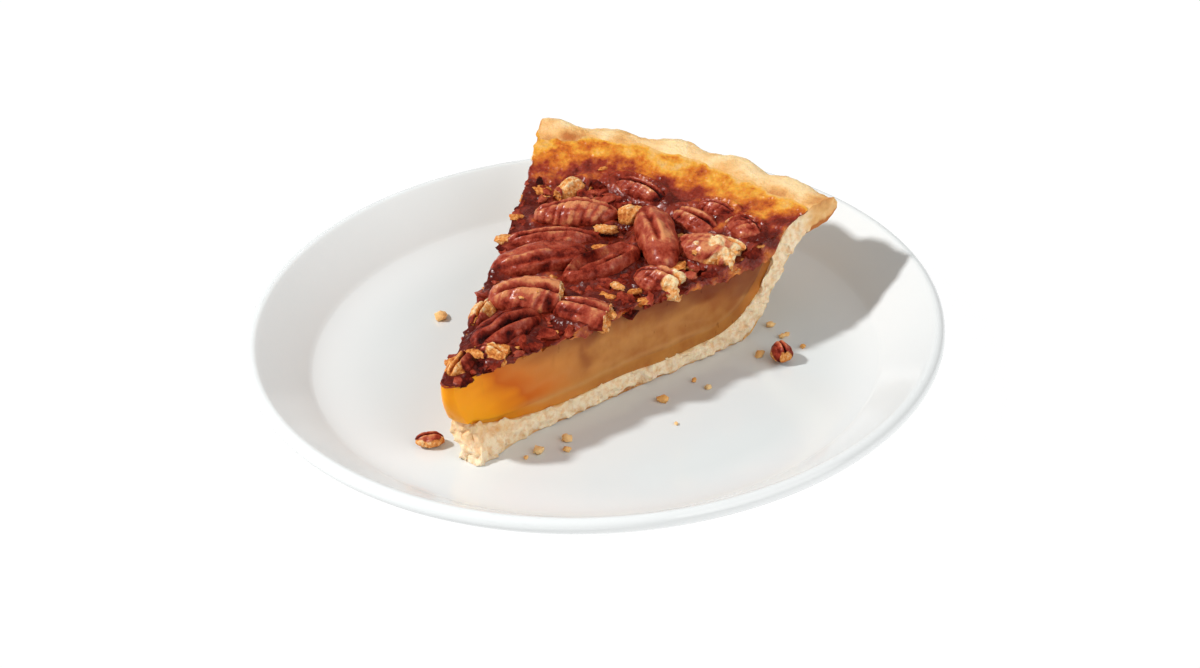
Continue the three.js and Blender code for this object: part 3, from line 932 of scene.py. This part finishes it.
@dataclass
class Pecans:
    """Every pecan on the slice and the two chips on the plate, each in the place of its solid."""

    section: PieSection
    finish: PecanSkin = PecanSkin()
    steps: tuple[int, int, int] = (64, 44, 28)
    dome: float = 0.62
    wrinkle_mm: float = 2.3
    rib_mm: float = 2.5
    first_seed: int = 101
    kernels: dict[KernelKind, tuple[Kernel, ...]] = field(default_factory=lambda: {
        KernelKind.HALF: (
            Kernel((12.2, 92.4, 29.9), (-47, -7, 4), (31, 12.3, 9), -0.12, wrinkle=0.05, tone=0.5, ribs=0.05,
                   sunk=0.1, span=(-0.62, 0.4)),
            Kernel((-17, 94.6, 28.8), (30, 0, -6), (26, 12, 7.8), 0.0, wrinkle=0.1, tone=0.55, ribs=0.36),
            Kernel((-2.5, 48.5, 29.2), (29, 0, 0), (25, 15, 9.6), -0.3, (-1, 0.62), 0.2, tone=0.58,
                   ribs=0.1),
            Kernel((-0.3, 31.8, 27.7), (75, 0, 4), (24, 13, 8.4), -0.25, wrinkle=0.05, tone=0.24, ribs=0.02),
            Kernel((-12.3, 67.3, 28.6), (46, 2, 8), (29.5, 12.5, 8.2), -0.5, wrinkle=0.08, tone=0.42,
                   ribs=0.05, sunk=0.06),
            Kernel((4.6, 74, 28.4), (66, 2, -4), (26, 12.5, 8.6), 0.1, wrinkle=0.06, tone=0.42,
                   ribs=0.03, sunk=0.06, scoop=0.5),
            Kernel((-16.4, 80.1, 27.6), (31, 0, 0), (28, 9, 7), -0.1, wrinkle=0.08, tone=0.42, ribs=0.08),
            Kernel((-6.4, 113.4, 29.8), (-8, 0, 6), (21, 8.4, 6.4), 0.0, tone=0.28),
        ),
        KernelKind.PIECE: (
            Kernel((29.4, 96.1, 27.7), (11, -6, 0), (25, 13, 8.6), 0.38, (-1, 0.62), 0.16, 0.63, 0.55,
                   (0.95, -0.25, 0.05)),
            Kernel((24.6, 75, 27.4), (8, -8, 0), (18, 11, 7.6), 0.0, (-1, 0.62), skinned=0.74, tone=0.52),
            Kernel((14.2, 50.3, 27.3), (11, -3, 0), (22, 12, 7.6), 0.0, (-1, 0.62), skinned=0.8, ribs=0.05),
            Kernel((16.8, 107.3, 28.6), (-15, -2, 6), (18, 10, 7), 0.0, (-0.9, 1), ribs=0.06),
            Kernel((32.6, 108.4, 30.6), (-22, -4, 0), (14, 9, 6.6), 0.38, (-0.7, 0.9), tone=0.4),
            Kernel((20.2, 113.6, 30.6), (-1, 0, 0), (15, 6.5, 5.4), 0.0, (-0.9, 1), tone=0.4),
            Kernel((-11.6, 37.4, 26.9), (102, 0, 0), (17, 7, 6), 0.0, (-0.9, 0.9), skinned=0.4, tone=0.3),
            Kernel((2.4, 20, 26.7), (20, -2, 0), (13, 8.5, 6), 0.0, (-0.7, 0.7), skinned=0.4, tone=0.12),
            Kernel((-1.6, 10.6, 26.9), (95, 12, 0), (12, 7.5, 6.4), 0.0, (-0.9, 0.7), skinned=0.5, tone=0.1,
                   worn=(-0.5, 0.7, 0.2)),
            Kernel((-26.5, 105.4, 28.9), (70, 3, 0), (13, 7, 6), 0.0, (-0.7, 0.7), skinned=0.1, tone=0.3,
                   ribs=0.0, sunk=0.0),
            Kernel((-2.2, 101, 29), (24, 6, 0), (9, 6.5, 5.6), 0.0, (-0.7, 0.7), skinned=0.1, tone=0.25,
                   ribs=0.0, sunk=0.0),
        ),
        KernelKind.CHIP: (
            Kernel((-11.5, 7.3, 1.75), (36, 0, 0), (8.4, 5.2, 3.6), 0.0, (-1, 0.9), 0.1, 0.5, 0.4,
                   (0, -0.5, -0.86)),
            Kernel((53.2, 93.4, 2.5), (-37, 0, 0), (8.4, 5.6, 5.4), 0.0, (-0.7, 0.7), 0.1, 0.62, 0.35,
                   (-0.5, 0, -0.86)),
        ),
    })

    def surface(self, kernel: Kernel, seed: int) -> Surface:
        """A ball pressed into a grooved, wrinkled, snapped kernel.

        On the ball, x runs along the kernel and y across it. A bell-shaped furrow along y = groove is sunk
        into the dome between two raised lips, along its span. An oval hollow may sink the middle, a shallow
        crease lines each lobe, a folded sine along x gives ribs and the folds of a stretched field wrinkles.
        Past each snapped end the ball is cut flat and roughened.

        Args:
            kernel: the kernel's place, size and form.
            seed: its own random draw.

        Returns:
            The kernel's closed surface with the marks ridge and bare.
        """
        length, width, height = kernel.size
        grain = Grain(seed)
        ball, faces = ball_grid(self.steps)
        x, y, z = ball.T
        local = ball * np.array([length, width, height]) / 2
        kept = np.clip(x, *kernel.ends)
        over = np.abs(x - kept)
        across = y - kernel.groove - 0.07 * np.sin(2.6 * x + seed)
        aside = np.abs(across)
        start, stop = kernel.span
        run = ease(x, start - 0.1, start + 0.1) - ease(x, stop - 0.1, stop + 0.1)
        taper = np.sqrt(1 - x * x) * np.clip(z, 0, 1) * run
        uneven = 1 + 0.5 * grain.field(local, 5.0)
        furrow = bell(across, 0.11) * taper * np.minimum(uneven, 1.2)
        crease = bell(aside - 0.6 * uneven, 0.08) * taper
        lips = bell(aside - 0.27, 0.13) * taper * uneven
        slanted = local + np.array([1.0, 0, 0]) * (aside * width * 0.3)[:, None]
        folds = 1 - 2 * np.abs(grain.rough(slanted * np.array([1, 0.3, 0.3]), self.wrinkle_mm, 2))
        wrinkles = folds * ease(z, -0.3, 0.25) * (1 - furrow)
        beat = (local[:, 0] + 0.3 * width * aside + 0.9 * grain.rough(local, 6.0, 2)) / self.rib_mm
        ribs = (np.abs(np.sin(np.pi * beat)) ** 0.6 - 0.7) * ease(z, -0.5, 0.1) * (1 - furrow)
        hollow = kernel.scoop * ease(1 - (x / 0.86) ** 2 - (y / 0.74) ** 2, 0.0, 0.5) * (z > 0)
        dome = np.where(z > 0, self.dome, 1 - self.dome) * z
        rise = dome - kernel.sunk * (furrow + 0.25 * crease) + 0.07 * lips - hollow
        base = np.stack([kept * length / 2, y * width / 2, rise * height], -1)
        fibres = grain.rough(local * np.array([0.35, 1, 1]), 1.5, 2)
        bump = kernel.wrinkle * wrinkles + kernel.ribs * ribs
        bump += 0.5 * grain.rough(local, 5.5, 3) + 0.1 * fibres
        snapped = ease(over, 0.0, 0.03)
        base += ball * (bump * (1 - snapped))[:, None]
        base += grain.shift(local, 2.6, 3) * (0.045 * length * snapped)[:, None]
        reach = 0.5 * (ball @ np.array(kernel.worn) + 1) + 0.35 * grain.rough(local, 4.5, 2)
        lost = ease(reach, kernel.skinned - 0.04, kernel.skinned + 0.04) * (kernel.skinned < 1)
        base += ball * (0.042 * length * lost * (grain.rough(local, 3.0, 3) - 0.4))[:, None]
        heading, pitch, roll = (math.radians(a) for a in kernel.turn)
        tilt = Matrix.Rotation(-pitch, 3, "Y") @ Matrix.Rotation(roll, 3, "X")
        pose = np.array(Matrix.Rotation(heading, 3, "Z") @ tilt)
        middle = np.array([*self.section.centre, self.section.well]) + kernel.at
        # skin tone: the kernel's own tone; lighter on the raised folds, ribs and lips, partly wear and
        # partly painted light; lighter on top and darker down the lower flanks, painted light and shade;
        # darker in the groove, creases and hollow, dark skin with painted shade
        lit = kernel.tone + 0.9 * kernel.wrinkle * wrinkles + 0.16 * fibres + 0.15 * z
        lit += 0.3 * ribs * min(1.0, kernel.ribs / 0.2)
        lit += 0.25 * lips - kernel.sunk * (3.2 * furrow + 0.6 * crease) - 0.3 * hollow
        marks = {"ridge": np.clip(lit, 0, 1), "bare": np.maximum(snapped, lost)}
        return Surface(base @ pose.T + middle, faces.tolist(), marks)

    def build(self) -> None:
        """Makes every kernel and dresses it in pecan skin."""
        skin = self.finish.material()
        seed = self.first_seed
        for kind, kernels in self.kernels.items():
            slot = "pecan" if kind is KernelKind.HALF else "pecan_broken"
            for number, kernel in enumerate(kernels, 1):
                node = f"{kind.value}_{number}"
                make_piece(f"{node}_skin", self.surface(kernel, seed), skin, slot, (node,))
                seed += 1

    def nearest(self, spots: np.ndarray) -> np.ndarray:
        """How far spots lie from the nearest kernel in plan.

        Args:
            spots: places from the pie's centre, in mm.

        Returns:
            Distances in the kernel's own half lengths: under 1 inside its oval.
        """
        share = np.full(len(spots), np.inf)
        for kernel in self.kernels[KernelKind.HALF] + self.kernels[KernelKind.PIECE]:
            heading = math.radians(kernel.turn[0])
            away = spots - np.array(kernel.at[:2])
            along = away @ np.array([math.cos(heading), math.sin(heading)])
            across = away @ np.array([-math.sin(heading), math.cos(heading)])
            share = np.minimum(share, 2 * np.hypot(along / kernel.size[0], across / kernel.size[1]))
        return share


@dataclass
class CandiedTop:
    """The candied bed that holds the nuts, running out as a golden glaze on the rim's slope."""

    section: PieSection
    pecans: Pecans
    finish: CandiedGlaze = CandiedGlaze()
    start: float = 2.2
    overlap: float = 0.12
    least: float = 0.35
    collar: float = 1.3
    near_dip: float = 2.2
    near_red: float = 5.0
    steps: tuple[int, int, int] = (250, 150, 14)
    grain: Grain = field(default_factory=lambda: Grain(37))

    def surface(self) -> Surface:
        """Lays a lumpy sheet over the custard and roughens its cut sides.

        Its top is the level bed and the straight rise to the rim, with rough fields for chopped nut and
        syrup lumps that fade out on the smooth golden glaze, and a collar of syrup round each kernel.
        Towards the near cut face the glaze ends sooner and stays redder.

        Returns:
            The candied top's closed surface with the mark golden.
        """
        section, grain = self.section, self.grain
        shares, faces = box_grid(self.steps)
        u, v, w = shares.T
        angle = section.angle(v)
        ring = section.place(np.full_like(angle, section.top_end), angle, np.zeros_like(angle))
        edge = section.top_end + 1.2 * grain.rough(ring, 14.0, 2) + 1.1 * grain.rough(ring, 4.0, 2)
        edge -= self.near_dip * section.nearing(angle, 0.1, 0.4)
        r = blend(self.start, edge, u)
        lower = np.maximum(section.custard_top(r), section.crust_top(r)) - self.overlap
        level = section.place(r, angle, section.topping_top(r))
        bed = 1 - ease(r, 106, 120)
        bits = 0.9 * grain.rough(level, 9.0, 2) + 0.75 * grain.rough(level, 3.6, 2)
        blisters = 0.22 * grain.rough(level, 2.6, 2)
        near = self.pecans.nearest(level[:, :2] - np.array(section.centre))
        collar = self.collar * bell(near - 1, 0.22)
        upper = level[:, 2] - section.well + blend(blisters, bits, bed) + collar
        z = blend(lower, np.maximum(upper, lower + self.least), w)
        smooth = section.place(r, angle, z)
        cut = (v == 0) | (v == 1) | (u == 0)
        push = grain.shift(smooth, 3.0, 2) * np.array([0.9, 0.9, 0.3])
        points = smooth + push * (cut * ease(w, 0.05, 0.4))[:, None]
        drift = 6 * grain.rough(level, 15.0, 2) + 4 * grain.rough(level, 5.0, 2)
        drift -= self.near_red * section.nearing(angle, 0.4, 0.8)
        golden = 0.06 + 0.62 * ease(r + drift, 108, 130) + 0.08 * ease(r, 100, 112)
        golden += 0.05 * collar + 0.3 * ease(r - edge, -1.2, 0)
        shown = np.where(cut & (w < 0.9), 0.4 - 0.16 * w, golden)
        return Surface(points, faces.tolist(), {"golden": np.clip(shown, 0, 1)})

    def build(self) -> None:
        """Makes the candied top and dresses it in glaze."""
        make_piece("candied_bed", self.surface(), self.finish.material(), "candied_top", ("candied_top",))


def lumps(middles: np.ndarray, sizes: np.ndarray, seed: int, dent: float = 0.3, cells: int = 2) -> Surface:
    """Many small rough lumps as one mesh: one coarse ball, stretched, turned and dented for each.

    Args:
        middles: the lumps' middles in mm, in the row's frame.
        sizes: their half lengths along three axes in mm.
        seed: the random draw for their turns and dents.
        dent: how far each corner is pushed in or out, as a share.
        cells: the ball's grid cells along each axis.

    Returns:
        The joined surface, with the mark lump, one random number from 0 to 1 for each lump.
    """
    draw = np.random.default_rng(seed)
    ball, faces = ball_grid((cells, cells, cells))
    count = len(middles)
    dents = 1 + dent * draw.uniform(-1, 1, (count, len(ball), 1))
    shaped = ball * dents * sizes[:, None, :]
    turn, lean = draw.uniform(0, 2 * np.pi, (2, count, 1))
    lean = 0.35 * np.sin(lean)
    x, y, z = np.moveaxis(shaped, -1, 0)
    y, z = y * np.cos(lean) - z * np.sin(lean), y * np.sin(lean) + z * np.cos(lean)
    x, y = x * np.cos(turn) - y * np.sin(turn), x * np.sin(turn) + y * np.cos(turn)
    points = np.stack([x, y, z], -1) + middles[:, None, :]
    joined = faces[None] + len(ball) * np.arange(count)[:, None, None]
    mark = np.repeat(draw.uniform(0, 1, count), len(ball))
    return Surface(points.reshape(-1, 3), joined.reshape(-1, 4).tolist(), {"lump": mark})


@dataclass
class ChoppedNuts:
    """Chopped pecan in the candied bed between the kernels: dark skins, red skins and pale flesh.

    Each shard of flesh is its place from the pie's centre, its half length in mm and how pale it is.
    Shapes are half lengths along three axes, as shares of a bit's size.
    """

    section: PieSection
    pecans: Pecans
    finish: PecanSkin = PecanSkin()
    tries: int = 900
    reach: tuple[float, float] = (6.0, 112.0)
    along_cut: int = 64
    clear_of_kernels: float = 0.85
    bit_shape: tuple[float, float, float] = (1.65, 0.95, 0.62)
    shard_shape: tuple[float, float, float] = (1.35, 0.7, 0.55)
    skinned: float = 0.88
    sharp: float = math.radians(28)
    seed: int = 5
    shards: tuple[tuple[float, float, float, float, float], ...] = (
        (-34.1, 102.1, 28.9, 2.6, 0.19), (-4.6, 91.1, 29.4, 2.7, 0.44), (-28.6, 73.7, 27.9, 2.6, 0.39),
        (-0.2, 81.9, 28.9, 2.2, 0.17), (26.6, 91.6, 30.6, 1.7, 0.44), (33.9, 118.1, 32.4, 1.8, 0.50),
        (14.5, 66.8, 28.2, 1.8, 0.50), (19.8, 67.5, 27.6, 1.7, 0.22), (15.4, 52.1, 30.2, 1.8, 0.44),
        (20.5, 53.4, 28.2, 2.0, 0.44), (-0.1, 17.1, 28.4, 2.2, 0.28), (4.3, 23.9, 27.8, 2.3, 0.22),
        (-12.6, 37.4, 29.0, 1.6, 0.28), (-10.5, 31.9, 28.2, 2.0, 0.22), (-4.2, 10.4, 27.6, 2.2, 0.22),
        (1.2, 45.5, 34.1, 0.6, 0.55), (-1.9, 42.0, 33.0, 0.7, 0.55), (-21.6, 117.2, 32.6, 1.3, 0.22),
    )

    def bits(self) -> Surface:
        """Small bits scattered evenly over the bed, the first of them along its cut edges.

        Returns:
            The bits as one surface with the marks bare and ridge, without those under a kernel.
        """
        draw = np.random.default_rng(self.seed)
        inner, outer = self.reach
        r = np.sqrt(draw.uniform(inner ** 2, outer ** 2, self.tries))
        angle = self.section.half_angle * draw.uniform(-1, 1, self.tries) * (1 - 1.5 / r)
        spots = np.stack([r * np.sin(angle), r * np.cos(angle)], -1)
        kept = self.pecans.nearest(spots) > self.clear_of_kernels
        r, angle = r[kept], angle[kept]
        depth = draw.uniform(-0.7, 0.6, len(r))
        edge = np.arange(len(r)) < self.along_cut
        angle = np.where(edge, np.sign(angle) * (self.section.half_angle - 0.4 / r), angle)
        depth = np.where(edge, draw.uniform(-1.4, 0.6, len(r)), depth)
        middles = self.section.place(r, angle, self.section.topping_top(r) + depth)
        sizes = np.clip(draw.gamma(2.4, 0.42, (len(r), 1)), 0.4, 2.2) * np.array(self.bit_shape)
        surface = lumps(middles, sizes, self.seed, 0.36)
        kind = surface.marks.pop("lump")
        surface.marks["bare"] = ease(kind, self.skinned, self.skinned + 0.01)
        surface.marks["ridge"] = np.where(kind > self.skinned, 0.24, 0.2 + 0.5 * kind)
        return surface

    def flesh(self) -> Surface:
        """The pale shards, each set at its own place.

        Returns:
            The shards as one surface with the marks bare and ridge.
        """
        shards = np.array(self.shards)
        middles = shards[:, :3] + np.array([*self.section.centre, self.section.well])
        surface = lumps(middles, shards[:, 3:4] * np.array(self.shard_shape), self.seed, 0.2, 5)
        count = len(surface.points)
        surface.marks = {"bare": np.ones(count), "ridge": np.repeat(shards[:, 4], count // len(shards))}
        return surface

    def build(self) -> None:
        """Makes the bits and the shards and dresses them in pecan skin."""
        skin = self.finish.material()
        make_piece("chopped_pecan", self.bits(), skin, "pecan_broken", sharp=self.sharp)
        make_piece("pecan_shards", self.flesh(), skin, "pecan_broken")


@dataclass
class Crumbs:
    """Pastry crumbs that have dropped onto the plate beside the slice.

    Each is its place on the plate and its half length in mm.
    """

    section: PieSection
    finish: Pastry = Pastry(skin="#ffd99c", golden="#ffba66", glow=0.0)
    shape: tuple[float, float, float] = (1.2, 0.95, 0.75)
    seed: int = 3
    places: tuple[tuple[float, float, float], ...] = (
        (-52.5, -3.9, 1.9), (15.6, -39.8, 1.4), (11.8, -48.7, 1.5), (18.3, -44.0, 1.1), (10.4, -52.8, 0.7),
        (29.0, -9.8, 1.5), (31.4, 3.5, 0.8), (36.8, 2.3, 0.9), (38.3, -18.1, 0.6), (36.0, 40.2, 1.2),
        (42.1, 36.5, 1.0), (41.5, 24.3, 1.4), (50.1, 34.7, 0.9), (42.8, 38.2, 0.8),
    )

    def build(self) -> None:
        """Makes the crumbs, each resting on the well, and dresses them in pastry."""
        spots = np.array(self.places)
        middles = np.stack([spots[:, 0], spots[:, 1], self.section.well + 0.6 * spots[:, 2]], -1)
        surface = lumps(middles, spots[:, 2:] * np.array(self.shape), self.seed)
        surface.points[:, 2] = np.maximum(surface.points[:, 2], self.section.well + 0.03)
        kind = surface.marks.pop("lump")
        surface.marks = {"toast": 0.14 + 0.34 * kind, "cut": np.zeros_like(kind)}
        make_piece("pastry_crumbs", surface, self.finish.material(), "pastry")


@dataclass(frozen=True)
class Lamp:
    """A round soft light that shines along a heading, down at the plate.

    The heading is the way its light travels, from +X, and the elevation its height angle, in degrees. Size
    and distance are metres and power is watts.
    """

    name: str
    heading: float
    elevation: float
    size: float
    power: float
    distance: float

    def hang(self) -> None:
        """Puts the light in the scene, turned towards the plate's middle."""
        data = bpy.data.lights.new(self.name, "AREA")
        data.shape = "DISK"
        data.size = self.size
        data.energy = self.power
        light = bpy.data.objects.new(self.name, data)
        heading, elevation = math.radians(self.heading), math.radians(self.elevation)
        flat = math.cos(elevation)
        towards = Vector((math.cos(heading) * flat, math.sin(heading) * flat, -math.sin(elevation)))
        light.location = -towards * self.distance
        light.rotation_euler = towards.to_track_quat("-Z", "Y").to_euler()
        bpy.context.scene.collection.objects.link(light)


@dataclass
class Studio:
    """The pale floor, the soft lights and the camera at the photograph's angle, in metres."""

    azimuth: float = math.radians(33.5)
    elevation: float = math.radians(32.14)
    roll: float = math.radians(-2.51)
    distance: float = 0.8203
    aim: tuple[float, float, float] = (0.00395, -0.00307, 0.0173)
    lens: float = 85.0
    sensor: float = 36.0
    key: Lamp = Lamp("key", 37.5, 45.0, 0.15, 28.0, 1.8)
    fill: Lamp = Lamp("fill", 176.0, 32.0, 2.8, 40.0, 3.0)
    sky: str = "#fffefc"
    sky_strength: float = 0.335
    paper: StudioPaper = StudioPaper()
    paper_reach: float = 3.0
    paper_points: int = 61
    paper_drop: float = 0.0002

    def camera(self) -> None:
        """Sets the camera: right, up and back are its axes, turned by the roll about its view."""
        a, e = self.azimuth, self.elevation
        back = Vector((math.sin(a) * math.cos(e), -math.cos(a) * math.cos(e), math.sin(e)))
        level = Vector((math.cos(a), math.sin(a), 0.0))
        upright = back.cross(level)
        right = level * math.cos(self.roll) + upright * math.sin(self.roll)
        up = upright * math.cos(self.roll) - level * math.sin(self.roll)
        data = bpy.data.cameras.new("camera")
        data.lens = self.lens
        data.sensor_width = self.sensor
        data.sensor_fit = "HORIZONTAL"
        camera = bpy.data.objects.new("camera", data)
        axes = Matrix((right, up, back)).transposed().to_4x4()
        camera.matrix_world = Matrix.Translation(Vector(self.aim) + back * self.distance) @ axes
        bpy.context.scene.collection.objects.link(camera)
        bpy.context.scene.camera = camera

    def floor(self) -> None:
        """Lays a flat square sheet of white paper a hair under the plate's foot."""
        side = np.linspace(-self.paper_reach, self.paper_reach, self.paper_points)
        x, y = np.meshgrid(side, side, indexing="ij")
        points = np.stack([x, y, np.full_like(x, -self.paper_drop)], -1).reshape(-1, 3)
        mesh = bpy.data.meshes.new("paper_floor")
        mesh.from_pydata(points, [], grid_quads(self.paper_points, self.paper_points).tolist())
        mesh.materials.append(self.paper.material())
        floor = bpy.data.objects.new("paper_floor", mesh)
        bpy.context.scene.collection.objects.link(floor)

    def build(self) -> None:
        """Sets the camera, the floor, the key light from the left, the fill, the world's light and the plain
        view transform.
        """
        self.camera()
        self.floor()
        self.key.hang()
        self.fill.hang()
        world = bpy.data.worlds.new("studio")
        world.use_nodes = True
        background = world.node_tree.nodes["Background"]
        background.inputs["Color"].default_value = linear(self.sky)
        background.inputs["Strength"].default_value = self.sky_strength
        bpy.context.scene.world = world
        bpy.context.scene.view_settings.view_transform = "Standard"


def main() -> None:
    """Builds the studio and the pieces in order."""
    logging.basicConfig(level=logging.INFO, format="%(message)s")
    section = PieSection()
    pecans = Pecans(section)
    for assembly in (
        Studio(), Plate(), Crust(section), Filling(section), CandiedTop(section, pecans), pecans,
        ChoppedNuts(section, pecans), Crumbs(section),
    ):
        assembly.build()


if __name__ == "__main__":
    main()
